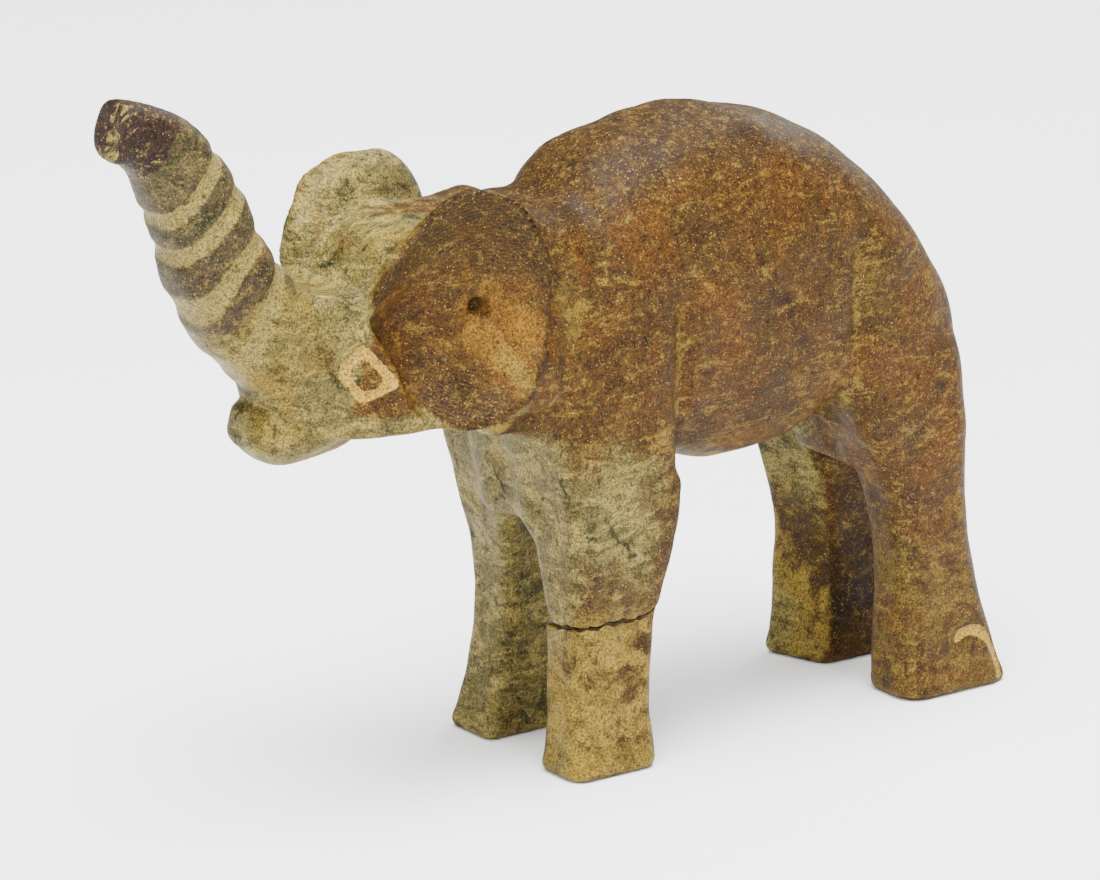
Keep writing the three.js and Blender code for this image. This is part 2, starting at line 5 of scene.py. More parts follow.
import bpy
import numpy as np
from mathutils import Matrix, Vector


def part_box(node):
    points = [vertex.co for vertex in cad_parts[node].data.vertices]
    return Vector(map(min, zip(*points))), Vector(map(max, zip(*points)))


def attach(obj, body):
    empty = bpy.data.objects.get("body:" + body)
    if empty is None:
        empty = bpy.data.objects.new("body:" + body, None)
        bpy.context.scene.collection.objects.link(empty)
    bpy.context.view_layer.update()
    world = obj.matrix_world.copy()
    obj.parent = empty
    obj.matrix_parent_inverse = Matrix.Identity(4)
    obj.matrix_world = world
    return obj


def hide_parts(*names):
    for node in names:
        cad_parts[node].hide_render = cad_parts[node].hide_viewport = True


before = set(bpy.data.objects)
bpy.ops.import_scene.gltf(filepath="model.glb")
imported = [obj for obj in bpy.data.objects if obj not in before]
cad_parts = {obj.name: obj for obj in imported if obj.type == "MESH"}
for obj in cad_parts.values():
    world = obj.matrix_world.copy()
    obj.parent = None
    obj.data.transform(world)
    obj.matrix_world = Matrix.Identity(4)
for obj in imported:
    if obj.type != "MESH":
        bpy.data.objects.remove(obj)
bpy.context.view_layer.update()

# The body part's box gives the size: forms are in shares, hundredths of the back's height, as in the solids
MM = 0.001
TRUNK_TOP = 114.82
low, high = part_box("elephant_body")
SHARE = (high.z - low.z) / MM / TRUNK_TOP
GLUE_OVER_BREAK = 0.14
glue_low, glue_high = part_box("glue_seam")
BREAK_HEIGHT = (glue_low.z + glue_high.z) / 2 / MM - GLUE_OVER_BREAK

# Profiles of the body, the trunk, the cheeks and the legs, in shares at stations along x or up z
TRUNK = dict(
    x=[-68, -76.7, -84.5, -90, -92.9, -96.2, -99.6, -103.9, -108],
    z=[69.5, 72.6, 78.6, 86.7, 94.6, 101.4, 106.3, 109.2, 110.3],
    radius=[8.4, 9.0, 8.6, 8.1, 7.5, 6.9, 5.9, 5.1, 4.8],
)
BACK = dict(
    x=[-50, -40, -34, -27.5, -16, -1, 11, 19, 27, 34, 39, 43],
    top=[80, 85.7, 88.2, 94.5, 98.6, 99.4, 96.5, 92.3, 85.3, 76.7, 67.5, 54.1],
    belly=[62, 56, 50, 48, 46, 43, 44.6, 49.3, 50, 50, 50, 52],
    half=[11, 13.2, 13, 16.3, 18.2, 18.8, 18.6, 18.3, 17.9, 16.3, 14, 7.9],
)
CHEEK = dict(
    x=[-92, -80, -72, -64, -56, -48, -40],
    low=[6.2, 7.6, 10.4, 13.6, 16.2, 17.4, 17.2],
    high=[6, 7, 8.2, 9.2, 9.6, 10, 11],
)
FORE = dict(
    z=[0, 15, 25, 38, 50, 75],
    rear=[-20.3, -20.9, -20.2, -16.8, -16, -17],
    inner=[6.5, 7, 6.8, 4, 2, 2],
    left_front=[-37, -36.2, -36.5, -37.5, -39, -37],
    left_outer=[17.8, 17.3, 17.6, 18.2, 18.2, 13],
    right_front=[-36.6, -33.5, -32.8, -35.5, -38.3, -36.9],
    right_outer=[18.5, 17, 17.2, 17.6, 18, 13],
)
HIND = dict(
    z=[0, 10, 25, 36, 50, 75],
    rear=[50, 46.4, 42.6, 41.1, 39.9, 28.2],
    outer=[18, 17.4, 17.2, 17.8, 18.2, 13],
    inner=[5, 5.5, 5.5, 4.5, 2, 0],
    left_front=[28, 27.6, 27.4, 25, 17, 10],
    right_front=[26.8, 27.3, 27, 24.3, 18.1, 12],
)
FORELEG_TOP = 72
HIND_LEG_TOP = 64

# Rounded blocks that fill the body out: middle in x and z, half sizes in x, y and z, edge radius
SHOULDERS = ((-40, 72), (11, 13.4, 16.9), 6.5)
CHEST = ((-28, 50), (9.5, 8, 11.5), 3)
HIPS = ((32, 47), (8.5, 7, 9.5), 1.2)

# The head's flat sides: a point in x and z, and the direction in x and z that each faces
CROWN = (-55, 90.3, -0.03, 1)
FOREHEAD = (-70.6, 81, -0.8, 0.6)
JAW = (-60, 59.6, 0.04, -1)
NAPE = (-38, 70, 1, 0)
MUZZLE_TOP = (-73, 81.8, -0.12, 1)
MUZZLE_FRONT = (-82, 70, -1, 0.35)
MUZZLE_REAR = (-64, 70, 1, 0)
LIP = dict(x=-79.4, z=61.4, front=6.2, rear=14, side=6.8, up=5.5, down=6.2)

# The ears: face is how far out the plate's middle lies, one step of the outline's measure is EAR_STEP
EAR = dict(x=-55, z=78.2, up=18.6, down=18.8, rear=13.6, face=15.85, flare=0.2, bowl=6.6, thick=3.8)
EAR_FRONT = dict(left=14.2, right=16.6)
EAR_CORNER = dict(left=2.15, right=2.5)
EAR_STEP = 13
LEFT_EAR_CUT = dict(x=-0.72, z=0.69, away=13.4)
NO_CUT = -20

# Carved details: places in x and z
TRUNK_BANDS = [2.25, 3.2, 4.1, 4.95]
BAND_DEPTH = 0.3
BAND_WIDTH = 0.2
BAND_LEAN = 0.05
EYE = (-69.9, 69.6)
EYE_CORNERS = [(-0.8, 5.2), (4.6, -1.9), (-1.6, -4.5), (-5.4, 1.1)]
EYE_RIM = 0.74
EYE_SOFTNESS = 0.5
NAIL = (40.6, 0.0)
NAIL_HALF = (6.2, 10.0)
MOUTH_START = (-90, 66.6)
MOUTH_RUN = (11, -3)
PIT = (-50.4, 77)
FOLD_START = (-49.6, 74.5)
FOLD_RUN = (5, -10)
SHOULDER_GROOVE = (-17, 60)
THIGH_GROOVE = (17, 62)

# The knife's waves: height in millimetres, radians per millimetre in x, y and z, and a start in radians
KNIFE_WAVES = [(0.17, 0.26, 0.13, 0.17, 0.4), (0.14, -0.19, 0.3, 0.31, 1.7), (0.08, 0.52, -0.4, 0.6, 2.9)]
KNIFE_DEPTH = 0.7
KNIFE_MIDDLE = 0.32

# A distance that is safely outside, in millimetres
FAR_OFF = 40.0


# Soft joins, cuts and overlaps of forms

def join(a, b, blend):
    """The nearer of two distances, with the crease between them filled over a blend in shares."""
    k = blend * SHARE
    h = np.clip(0.5 + 0.5 * (b - a) / k, 0, 1)
    return b + (a - b) * h - k * h * (1 - h)


def both(a, b, blend):
    """Where both forms are: the farther distance, with the edge between them rounded."""
    return -join(-a, -b, blend)


def cut(a, b, blend):
    """The first form without the second."""
    return -join(-a, b, blend)


def smooth(t):
    """A soft step from 0 to 1."""
    t = np.clip(t, 0, 1)
    return t * t * (3 - 2 * t)


def fade(value, start, end):
    """0 where a value is at the start, 1 where it is at the end, and a soft step between them."""
    return smooth((value - start) / (end - start))


def bell(t):
    """1 at 0, falling off to both sides as a bell curve."""
    return np.exp(-t * t)


def beside(y, reach):
    """Whether a point lies farther from the middle plane than a reach in shares."""
    return np.abs(y) > reach * SHARE


def profile(stations, values):
    """A smooth curve through values at stations: cubic pieces whose slopes match where they meet."""
    stations = np.asarray(stations, float)
    values = np.asarray(values, float)
    slopes = np.gradient(values, stations)

    def at(place):
        i = np.clip(np.searchsorted(stations, place) - 1, 0, len(stations) - 2)
        step = stations[i + 1] - stations[i]
        t = np.clip((place - stations[i]) / step, 0, 1)
        lean = t * (1 - t) * step
        ends = values[i] + (values[i + 1] - values[i]) * smooth(t)
        return ends + lean * ((1 - t) * slopes[i] - t * slopes[i + 1])
    return at


def near_line(x, z, start, run):
    """How far each point lies from a straight line in x and z, and how far along it, 0 to 1, in shares."""
    u, v = x / SHARE - start[0], z / SHARE - start[1]
    along = np.clip((u * run[0] + v * run[1]) / (run[0] ** 2 + run[1] ** 2), 0, 1)
    return np.hypot(u - run[0] * along, v - run[1] * along), along


# The forms: each is a distance in millimetres from its surface, negative inside

def plane(x, z, at_x, at_z, nx, nz):
    """Distance from a plane across the animal, through a point and with a normal in x and z."""
    return ((x - at_x * SHARE) * nx + (z - at_z * SHARE) * nz) / math.hypot(nx, nz)


def block(x, y, z, centre, half, edge):
    """A block with rounded edges: the length of what lies outside a smaller block, less the rounding."""
    qx = np.abs(x - centre[0] * SHARE) - (half[0] - edge) * SHARE
    qy = np.abs(y) - (half[1] - edge) * SHARE
    qz = np.abs(z - centre[1] * SHARE) - (half[2] - edge) * SHARE
    outside = np.sqrt(np.maximum(qx, 0) ** 2 + np.maximum(qy, 0) ** 2 + np.maximum(qz, 0) ** 2)
    return outside + np.minimum(np.maximum(qx, np.maximum(qy, qz)), 0) - edge * SHARE


def lip(x, y, z):
    """The lower lip: an egg, the sum of each offset over its radius raised to a power."""
    power = 2.5
    core = 0.35
    dx = x - LIP["x"] * SHARE
    dz = z - LIP["z"] * SHARE
    rx = np.where(dx > 0, LIP["rear"], LIP["front"]) * SHARE
    rz = np.where(dz > 0, LIP["up"], LIP["down"]) * SHARE
    total = np.abs(dx / rx) ** power + np.abs(y / LIP["side"] / SHARE) ** power + np.abs(dz / rz) ** power
    rho = np.maximum(total, 1e-9) ** (1 / power)
    away = np.sqrt(dx * dx + y * y + dz * dz)
    return np.where(rho > core, away * (1 - 1 / np.maximum(rho, core)), (rho - 1) * LIP["up"] * SHARE)


back_top = profile(BACK["x"], BACK["top"])
back_belly = profile(BACK["x"], BACK["belly"])
back_half = profile(BACK["x"], BACK["half"])


def barrel(x, y, z):
    """The body: a squared oval whose top, belly and width follow profiles along x."""
    first, last = BACK["x"][0], BACK["x"][-1]
    at = np.clip(x / SHARE, first, last)
    top, belly, wide = back_top(at), back_belly(at), back_half(at)
    middle, high_half = (top + belly) / 2, (top - belly) / 2
    power = 2.4
    total = np.abs(y / SHARE / wide) ** power + np.abs((z / SHARE - middle) / high_half) ** power
    rho = np.maximum(total, 1e-9) ** (1 / power)
    skin = (rho - 1) * np.minimum(wide, high_half) * SHARE * 0.85
    return both(both(skin, x - last * SHARE, 5), first * SHARE - x, 4)


def leg(stations, front, rear, outer, inner, edge, top):
    """A leg: a squared column whose four faces follow profiles up its height."""
    faces = [profile(stations, values) for values in (front, rear, outer, inner)]
    foot_below = 4

    def form(x, side, z):
        at = np.clip(z / SHARE, -foot_below - 1, top)
        a, b, out, inn = [face(at) * SHARE for face in faces]
        r = edge * SHARE
        qx = np.abs(x - (a + b) / 2) - (b - a) / 2 + r
        qy = np.abs(side - (out + inn) / 2) - (out - inn) / 2 + r
        corner = np.sqrt(np.maximum(qx, 0) ** 2 + np.maximum(qy, 0) ** 2)
        column = corner + np.minimum(np.maximum(qx, qy), 0) - r
        return both(both(column, z - top * SHARE, 6), -z - foot_below * SHARE, 1)
    return form


def foreleg(side, edge):
    """The foreleg of a side, its upright edges rounded to a radius in shares."""
    return leg(FORE["z"], FORE[side + "_front"], FORE["rear"], FORE[side + "_outer"], FORE["inner"], edge,
               FORELEG_TOP)


def hind_leg(side, edge):
    """The hind leg of a side, its upright edges rounded to a radius in shares."""
    return leg(HIND["z"], HIND[side + "_front"], HIND["rear"], HIND["outer"], HIND["inner"], edge,
               HIND_LEG_TOP)


left_foreleg = foreleg("left", 3)
right_foreleg = foreleg("right", 2.2)
left_hind_leg = hind_leg("left", 4.2)
right_hind_leg = hind_leg("right", 2.6)

# The trunk's path, as short straight steps
PATH_STEPS = 32
path_at = np.linspace(0, len(TRUNK["x"]) - 1, PATH_STEPS + 1)
stations = np.arange(len(TRUNK["x"]))
path_x = profile(stations, TRUNK["x"])(path_at)
path_z = profile(stations, TRUNK["z"])(path_at)
path_radius = profile(stations, TRUNK["radius"])(path_at)


def along_trunk(x, z):
    """For each point: where it lies along the trunk's path in stations, its distance and signed offset from
    the path (positive on the rear side), the radius there, and how far it lies past the tip, in shares."""
    x, z = x / SHARE, z / SHARE
    gap = np.full(x.shape, np.inf)
    place, offset, radius = (np.zeros(x.shape) for _ in range(3))
    for i in range(PATH_STEPS):
        dx, dz = path_x[i + 1] - path_x[i], path_z[i + 1] - path_z[i]
        length = math.hypot(dx, dz)
        run = ((x - path_x[i]) * dx + (z - path_z[i]) * dz) / length ** 2
        t = np.clip(run, 0, 1)
        ux, uz = x - path_x[i] - t * dx, z - path_z[i] - t * dz
        distance = np.hypot(ux, uz)
        nearer = distance < gap
        gap = np.where(nearer, distance, gap)
        place = np.where(nearer, path_at[i] + t * (path_at[1] - path_at[0]), place)
        offset = np.where(nearer, (ux * dz - uz * dx) / length, offset)
        radius = np.where(nearer, path_radius[i] + t * (path_radius[i + 1] - path_radius[i]), radius)
    past = ((x - path_x[-1]) * dx + (z - path_z[-1]) * dz) / length
    return place, gap, offset, radius, past


def trunk_bands(place, offset):
    """1 in the carved bands, which slope up towards the trunk's rear side, and 0 between them."""
    leaning = place - BAND_LEAN * offset
    return sum(np.exp(-((leaning - at) / BAND_WIDTH) ** 4) for at in TRUNK_BANDS)


def trunk(x, y, z):
    """The trunk: a round section carried along the raised path, with bands cut around it."""
    place, gap, offset, radius, past = along_trunk(x, z)
    power = 2.6
    narrowing = 1.03
    total = (gap / radius) ** power + np.abs(y / SHARE * narrowing / radius) ** power
    skin = ((total + 1e-9) ** (1 / power) - 1) * radius * SHARE
    form = both(skin, (past - 0.2) * SHARE, 1.2)
    return form + BAND_DEPTH * trunk_bands(place, offset)


cheek_low = profile(CHEEK["x"], CHEEK["low"])
cheek_high = profile(CHEEK["x"], CHEEK["high"])


def head(x, y, z):
    """The head: crown and sloping forehead over a muzzle whose top makes a ledge, cheeks that widen."""
    place, up = x / SHARE, fade(z / SHARE, 66, 86)
    half = cheek_low(place) * (1 - up) + cheek_high(place) * up
    cheek = np.abs(y) - half * SHARE
    jaw = plane(x, z, *JAW)
    brow = both(plane(x, z, *CROWN), plane(x, z, *FOREHEAD), 4)
    upper = both(both(both(brow, cheek, 4.5), jaw, 3), plane(x, z, *NAPE), 3)
    ends = both(plane(x, z, *MUZZLE_FRONT), plane(x, z, *MUZZLE_REAR), 2)
    muzzle = both(both(both(plane(x, z, *MUZZLE_TOP), cheek + 0.4 * SHARE, 4), jaw, 3), ends, 5)
    near_trunk = x <= -60 * SHARE
    nose = np.full(x.shape, FAR_OFF)
    nose[near_trunk] = trunk(x[near_trunk], y[near_trunk], z[near_trunk])
    return join(join(join(upper, muzzle, 0.8), nose, 3), lip(x, y, z), 2.5)


def ear_place(x, y, z):
    """Where a point lies in its ear's outline (1 on the rim), and the ear's outer skin there. The outline is
    a squared oval, cut off along a slant on the left ear. The skin is a plate that flares to the rear,
    hollowed like a bowl by one less the squared distance from its middle."""
    left = y < 0
    reach = np.where(left, EAR_FRONT["left"], EAR_FRONT["right"])
    corner = np.where(left, EAR_CORNER["left"], EAR_CORNER["right"])
    px, pz = x / SHARE - EAR["x"], z / SHARE - EAR["z"]
    low_front = 1 - 0.36 * fade(pz, 2, -9)
    rx = np.where(px > 0, EAR["rear"], reach * low_front)
    rz = np.where(pz > 0, EAR["up"], EAR["down"])
    rho = (np.abs(px / rx) ** corner + np.abs(pz / rz) ** corner) ** (1 / corner)
    slant = LEFT_EAR_CUT["z"] * pz + LEFT_EAR_CUT["x"] * px - LEFT_EAR_CUT["away"]
    rho = both(rho, 1 + np.where(left, slant, NO_CUT) / EAR_STEP, 0.115 / SHARE)
    hollow = np.maximum(1 - ((px + 0.5) / reach) ** 2 - ((pz - 1) / 17.5) ** 2, -0.6)
    hollow = hollow + 0.6 * fade(px, 0, -9) * fade(pz, 6, -3)
    return rho, (EAR["face"] + EAR["flare"] * px + 0.04 * pz - EAR["bowl"] * hollow) * SHARE


def with_ears(x, y, z, form):
    """The ears joined to the head, and their hollows carried on into the cheeks."""
    rho, skin = ear_place(x, y, z)
    side = np.abs(y)
    outside = (side - skin) * 0.9
    inside = (skin - EAR["thick"] * SHARE - side) * 0.9
    plate = both(both((rho - 1) * EAR_STEP * SHARE, outside, 0.9), inside, 1.6)
    beyond = np.maximum(rho - 1.02, 0) * 14 * SHARE
    near = beside(y, 6) & (rho < 1.6)
    return join(np.where(near, cut(form, -outside + beyond, 0.8), form), plate, 1.2)


def behind_ears(x, y, z):
    """1 along the rear edge of each ear, where a groove lets it stand off the neck and shoulder."""
    rho = ear_place(x, y, z)[0]
    rear = fade(x / SHARE - EAR["x"], -2.4, 3.6) * beside(y, 9)
    return bell((rho - 1.12) / 0.07) * rear


def upright_groove(x, z, at, width, length):
    """1 on an upright line, falling off as a bell curve to its sides and past its ends."""
    past = np.maximum(np.abs(z / SHARE - at[1]) - length, 0)
    return bell(np.hypot((x / SHARE - at[0]) / width, past / width))


def eye_depth(x, z):
    """How far inside the eye's leaning four-sided outline a point lies, in shares: the least of its
    distances from the sides, softened where they meet."""
    u, v = x / SHARE - EYE[0], z / SHARE - EYE[1]
    total = 0
    for i, (a, b) in enumerate(EYE_CORNERS):
        c, d = EYE_CORNERS[(i + 1) % len(EYE_CORNERS)]
        outward = ((v - b) * (c - a) - (u - a) * (d - b)) / math.hypot(c - a, d - b)
        total = total + np.exp(np.clip(outward / EYE_SOFTNESS, -40, 40))
    return -EYE_SOFTNESS * np.log(total)


def eye_ring(x, y, z):
    """1 on the incised rim of each eye, a band that runs inside the outline."""
    return np.exp(-((eye_depth(x, z) - EYE_RIM) / EYE_RIM) ** 4) * beside(y, 5)


def nail_arc(x, y, z):
    """1 on the nail's incised arc, an ellipse open towards the toe."""
    u, v = x / SHARE - NAIL[0], z / SHARE - NAIL[1]
    rho = np.hypot(u / NAIL_HALF[0], v / NAIL_HALF[1])
    span = fade(u, -3.4, -2.2) * fade(v, 0.3, 0.8)
    return np.exp(-((rho - 1) / 0.10) ** 4) * span * beside(y, 12)


def mouth_crease(x, z):
    """1 on the crease between the trunk's root and the lip, a short line that fades to its sides."""
    away, along = near_line(x, z, MOUTH_START, MOUTH_RUN)
    return bell(away / 0.95) * (1 - 0.5 * along)


def unevenness(x, y, z):
    """The knife's planes in millimetres: folded waves that meet in faint creases, and slow swells."""
    flat = sum(tall * np.abs(np.sin(a * x + b * y + c * z + start)) for tall, a, b, c, start in KNIFE_WAVES)
    swell = 0.06 * np.sin(0.62 * x + 0.35 * y - 0.21 * z + 0.4) * np.sin(0.5 * z + 0.3 * x)
    return KNIFE_MIDDLE - flat * KNIFE_DEPTH + swell


def ear_marks(x, y, z):
    """The pit in the middle of each ear and the fold that runs down and back from it."""
    pit = np.exp(-(((x / SHARE - PIT[0]) / 1.0) ** 2 + ((z / SHARE - PIT[1]) / 1.2) ** 2))
    away, _ = near_line(x, z, FOLD_START, FOLD_RUN)
    fold = bell(away / 1.7) * fade(ear_place(x, y, z)[0], 0.96, 0.66)
    return (2.0 * pit - 0.55 * fold) * beside(y, 9)


def stone(x, y, z):
    """The whole carving as one distance."""
    body = join(barrel(x, y, z), block(x, y, z, *SHOULDERS), 4)
    body = join(body, left_foreleg(x, -y, z), 5)
    body = join(body, right_foreleg(x, y, z), 5)
    body = join(body, left_hind_leg(x, -y, z), 5)
    body = join(body, right_hind_leg(x + 0.3 * (y - 12 * SHARE), y, z), 5)
    body = join(body, block(x, y, z, *CHEST), 4)
    body = join(body, block(x, y, z, *HIPS), 1.5)
    fore = x < -28 * SHARE
    before = (x[fore], y[fore], z[fore])
    skull = np.full(x.shape, FAR_OFF)
    skull[fore] = with_ears(*before, head(*before))
    body[fore] = body[fore] + 0.5 * behind_ears(*before)
    body = join(body, skull, 1.6)
    grooves = 0.85 * upright_groove(x, z, SHOULDER_GROOVE, 2.0, 12)
    grooves = grooves + 0.75 * upright_groove(x, z, THIGH_GROOVE, 2.4, 14)
    body = body + grooves * beside(y, 8) + 0.35 * eye_ring(x, y, z) + 0.3 * nail_arc(x, y, z)
    body = body + ear_marks(x, y, z) + unevenness(x, y, z) * fade(z / SHARE, 0, 4)
    body = body + 0.5 * mouth_crease(x, z)
    return both(body, -z, 2)


# The break in the left foreleg: its height in millimetres along x, the crack's width, and how far the lower
# piece was glued back too far forward
BREAK = profile(
    [-46, -36, -32.5, -29, -25.5, -22.5, -20, -12],
    [-0.5, -0.6, -0.5, -0.4, -0.6, -0.1, 0.6, 0.9])
BREAK_TILT = 0.09
CRACK = 0.3
SLIP = 0.25
BROKEN_EDGE = 0.35


def break_lift(x, y, z):
    """Height over the break's uneven surface, which ripples finely as snapped stone does."""
    ripple = 0.10 * np.sin(3.1 * x + 1.9 * y) + 0.07 * np.sin(-2.3 * x + 4.1 * y + 1) + 0.05 * np.sin(7 * x)
    tilt = BREAK_TILT * (y + 18 * SHARE)
    return z - BREAK_HEIGHT - BREAK(x / SHARE) + tilt - ripple


def at_left_foreleg(x, y, z):
    """Distance from the region around the left foreleg that the break divides."""
    return np.maximum(np.maximum(y + 2.6 * SHARE, np.abs(x + 29 * SHARE) - 15 * SHARE), z - 34 * SHARE)


def body_stone(x, y, z):
    """The carving without what lies below the break."""
    lower = np.maximum(at_left_foreleg(x, y, z), break_lift(x, y, z) - CRACK / 2)
    return cut(stone(x, y, z), lower, BROKEN_EDGE)


def leg_stone(x, y, z):
    """The broken-off foot and shin."""
    lower = np.maximum(at_left_foreleg(x, y, z), break_lift(x, y, z) + CRACK / 2)
    return both(stone(x, y, z), lower, BROKEN_EDGE)


def glue_line(x, y, z):
    """The glue: a wafer in the crack, a little sunk, with beads that swell where it was squeezed out."""
    beads = np.maximum(np.sin(2.6 * x + 0.8 * np.sin(1.3 * x)) * np.sin(1.1 * x - 2.2 * y + 1), 0)
    rim = stone(x, y, z) + 0.14 - 0.2 * beads
    swell = 0.03 + 0.12 * beads * bell(rim / 0.4)
    wafer = np.maximum(break_lift(x, y, z), -break_lift(x + SLIP, y, z)) - CRACK / 2 - swell
    return both(np.maximum(at_left_foreleg(x, y, z), rim), wafer, 0.25)


# From a distance to a mesh

COARSE = 4
CELL_CORNERS = [(i, j, k) for i in (0, 1) for j in (0, 1) for k in (0, 1)]


def sampled(form, low_corner, high_corner, cell):
    """A distance on a grid. A coarse grid finds where the surface runs, and the fine one is worked out only
    near there; elsewhere it takes the coarse cell's first corner."""
    size = [math.ceil((b - a) / cell / COARSE) for a, b in zip(low_corner, high_corner)]
    axes = [a + cell * np.arange(n * COARSE + 1) for a, n in zip(low_corner, size)]
    grid = np.meshgrid(*[axis[::COARSE] for axis in axes], indexing="ij")
    rough = form(*[g.ravel() for g in grid]).reshape(grid[0].shape)
    corners = [rough[i:i + size[0], j:j + size[1], k:k + size[2]] for i, j, k in CELL_CORNERS]
    near = np.any([np.abs(corner) < cell * COARSE * 1.5 for corner in corners], axis=0)
    values = corners[0]
    for axis in range(3):
        pad = [(0, 0)] * 3
        pad[axis] = (0, 1)
        near = np.pad(np.repeat(near, COARSE, axis), pad, mode="edge")
        values = np.pad(np.repeat(values, COARSE, axis), pad, mode="edge")
    i, j, k = np.nonzero(near)
    values[i, j, k] = form(axes[0][i], axes[1][j], axes[2][k])
    return axes, values


def net(axes, values, cell):
    """A closed net over the surface: each cell that it crosses gets one point, the mean of its edges'
    crossings, and each crossed edge gets one four-sided face between the cells around it."""
    inside = values < 0
    cells = tuple(n - 1 for n in values.shape)
    sums = np.zeros((int(np.prod(cells)), 3))
    counts = np.zeros(int(np.prod(cells)))
    faces = []
    for axis in range(3):
        others = [a for a in range(3) if a != axis]
        first = [slice(None)] * 3
        second = [slice(None)] * 3
        first[axis], second[axis] = slice(0, -1), slice(1, None)
        starts, ends = values[tuple(first)], values[tuple(second)]
        crossed = inside[tuple(first)] != inside[tuple(second)]
        where = np.argwhere(crossed)
        t = starts[crossed] / (starts[crossed] - ends[crossed])
        points = np.stack([axes[a][where[:, a]] for a in range(3)], 1)
        points[:, axis] += t * cell
        ring = []
        for du, dv in ((0, 0), (1, 0), (1, 1), (0, 1)):
            owner = where.copy()
            owner[:, others[0]] -= du
            owner[:, others[1]] -= dv
            index = np.ravel_multi_index(tuple(owner.T), cells)
            for a in range(3):
                sums[:, a] += np.bincount(index, points[:, a], len(counts))
            counts += np.bincount(index, minlength=len(counts))
            ring.append(index)
        ring = np.stack(ring, 1)
        turned = inside[tuple(first)][crossed] ^ (axis != 1)
        ring[turned] = ring[turned][:, ::-1]
        faces.append(ring)
    faces = np.concatenate(faces)
    used, renumbered = np.unique(faces, return_inverse=True)
    return sums[used] / counts[used][:, None], renumbered.reshape(faces.shape)


def settled(form, points, cell):
    """The points after two steps along the slope onto the surface, and the way that it faces there."""
    nudge = cell * 0.2
    for _ in range(2):
        x, y, z = points.T
        slope = np.stack([form(x + nudge, y, z) - form(x - nudge, y, z),
                          form(x, y + nudge, z) - form(x, y - nudge, z),
                          form(x, y, z + nudge) - form(x, y, z - nudge)], 1) / (2 * nudge)
        step = form(x, y, z) / np.maximum((slope ** 2).sum(1), 0.2)
        points = points - slope * np.clip(step, -cell, cell)[:, None]
    return points, slope / np.linalg.norm(slope, axis=1, keepdims=True)


def surface_net(form, low_corner, high_corner, cell):
    """The closed surface where a distance is zero: its points in millimetres, faces and facings."""
    axes, values = sampled(form, low_corner, high_corner, cell)
    points, faces = net(axes, values, cell)
    points, facings = settled(form, points, cell)
    return points, faces, facings


def make_piece(name, points, faces, marks):
    """A mesh object from points in millimetres and four-sided faces, with named marks on its points."""
    mesh = bpy.data.meshes.new(name)
    mesh.vertices.add(len(points))
    mesh.vertices.foreach_set("co", (points * MM).ravel())
    mesh.loops.add(faces.size)
    mesh.loops.foreach_set("vertex_index", faces.ravel().astype(np.int32))
    mesh.polygons.add(len(faces))
    mesh.polygons.foreach_set("loop_start", (np.arange(len(faces)) * 4).astype(np.int32))
    mesh.update(calc_edges=True)
    mesh.shade_smooth()
    for mark, values in marks.items():
        attribute = mesh.attributes.new(mark, "FLOAT", "POINT")
        attribute.data.foreach_set("value", np.asarray(values, np.float32))
    piece = bpy.data.objects.new(name, mesh)
    bpy.context.scene.collection.objects.link(piece)
    return piece


# Where the stone's colours and the painted shade and light lie, as soft marks on its points. Each patch is an
# oval in x and z: its middle, its half width and height, and how far it leans.

PATCHES = dict(
    crown=(-64, 92, 15, 9),
    upper_foreleg=(-31, 39, 15, 18),
    ear_floor=(-49, 73.5, 8.5, 11.5),
    # painted shade in the ear's lower hollow, towards the cheek
    painted_hollow_shade=(-55.5, 67.5, 6.5, 4.5),
    ear_front=(-64, 82, 3.5, 5, 0.6),
    ear_fold=(-47.3, 68, 2.2, 5.5, 0.45),
    ear_pit=(*PIT, 1.3, 1.5),
    withers=(-4, 88, 24, 12),
    neck=(-36, 74, 5, 14),
    thigh=(20, 70, 5, 16, 0.5),
    hind_leg=(38, 30, 10, 30),
    jaw=(-64, 60.3, 12, 1.5),
)


def lie_of(points, facings):
    """What the marks are worked out from: each point's place, in millimetres and in shares, the way it
    faces, and how far it belongs to the left side, the trunk, the trunk's tip and bands, and the near ear."""
    x, y, z = points.T
    u, v, side = x / SHARE, z / SHARE, np.abs(y) / SHARE
    left = fade(-y / SHARE, -9, 3)
    station, _, offset, _, _ = along_trunk(x, z)
    on_trunk = fade(u, -75, -78)
    tip = fade(station, 6.1, 6.6) * on_trunk
    faint_band = 0.3 * fade(station, 5.25, 5.45) * (1 - tip)
    bands = np.maximum(trunk_bands(station, offset), faint_band) * on_trunk
    outline = ear_place(x, y, z)[0]
    ear = left * fade(outline, 1.01, 0.96) * fade(side, 8, 11) * fade(u, -75, -72)
    front = fade(-facings[:, 0], 0.05, 1.0)
    top = fade(facings[:, 2], 0.1, 0.8)
    return SimpleNamespace(x=x, y=y, z=z, u=u, v=v, side=side, left=left, front=front, top=top, ear=ear,
                           station=station, on_trunk=on_trunk, tip=tip, bands=bands, outline=outline)


def patch(at, name):
    """1 in the middle of a named leaning oval, falling off as a bell curve."""
    middle_x, middle_z, wide, high, *lean = PATCHES[name]
    u, v = at.u - middle_x, at.v - middle_z
    c, s = math.cos(sum(lean)), math.sin(sum(lean))
    return np.exp(-(((u * c + v * s) / wide) ** 2 + ((v * c - u * s) / high) ** 2))


